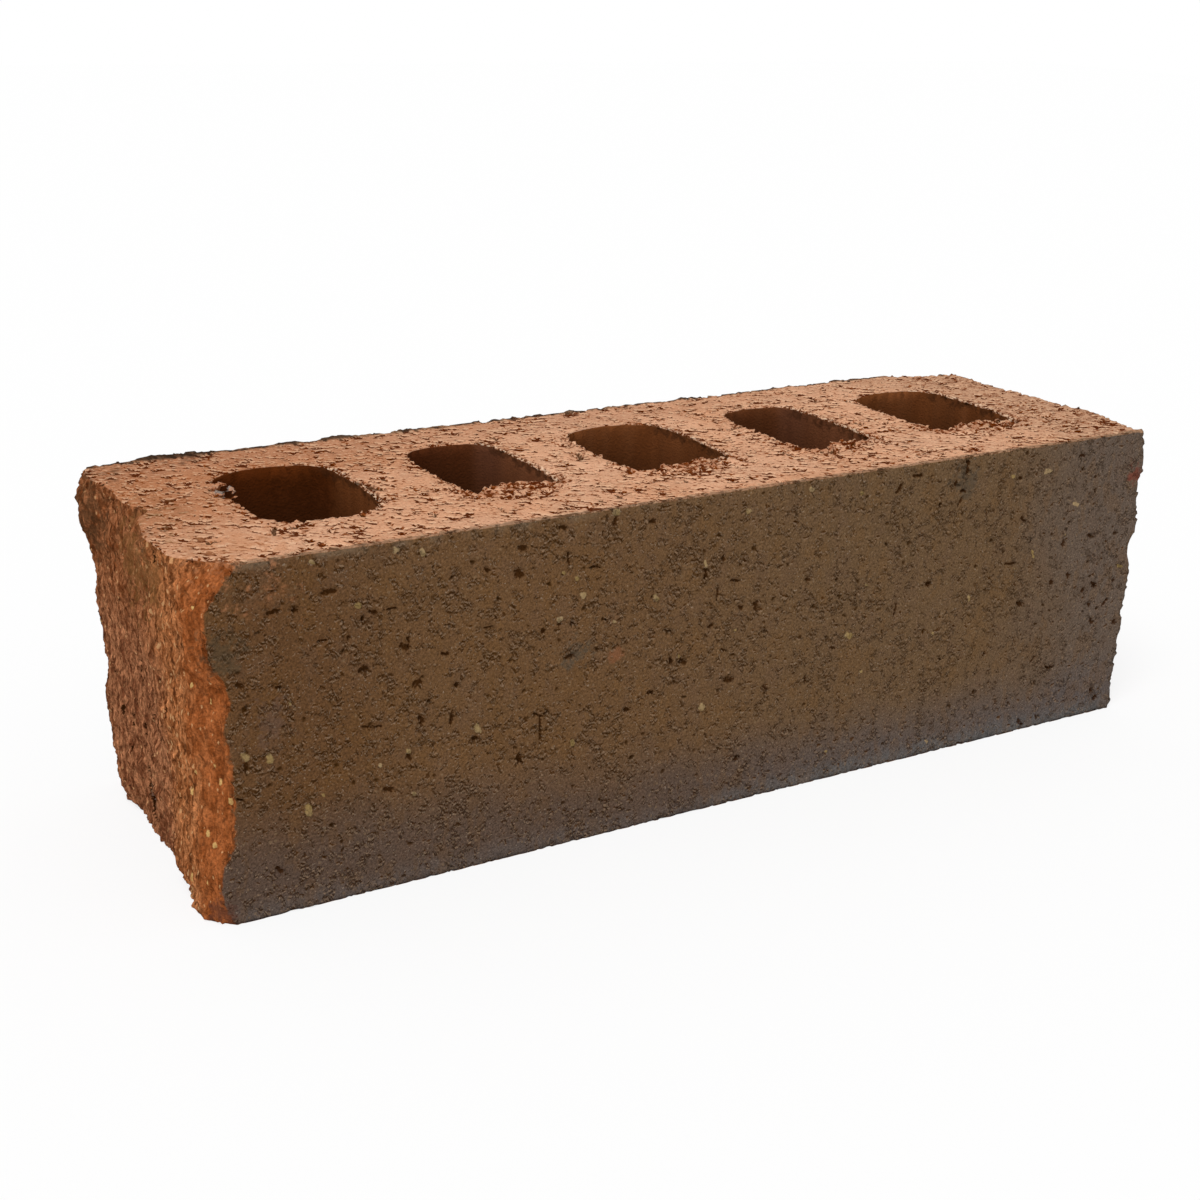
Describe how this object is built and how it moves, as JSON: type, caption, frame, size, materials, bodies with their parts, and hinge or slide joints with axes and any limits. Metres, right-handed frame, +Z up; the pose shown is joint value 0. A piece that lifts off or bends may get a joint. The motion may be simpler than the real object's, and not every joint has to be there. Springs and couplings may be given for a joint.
{
  "type": "clay brick",
  "caption": "Long cored clay brick with a dark die-smooth stretcher face, wire-cut beds pierced by upright crowned cores, and rough torn ends.",
  "frame": {"origin": "on the lower bed, at the middle of the brick's format length and width", "axes": "+X along the brick towards the rough dark end, -Y out of the smooth stretcher face, +Z up through the cores from the lower bed to the upper bed"},
  "size_m": [0.2979, 0.0925, 0.09],
  "materials": {
    "fired_clay": "matt fired clay: dark umber die skin on the long faces, pale terracotta wire-cut beds, orange-brown torn end, buff grit grains"
  },
  "bodies": {
    "root": {"brick": "fired_clay"}
  },
  "joints": []
}
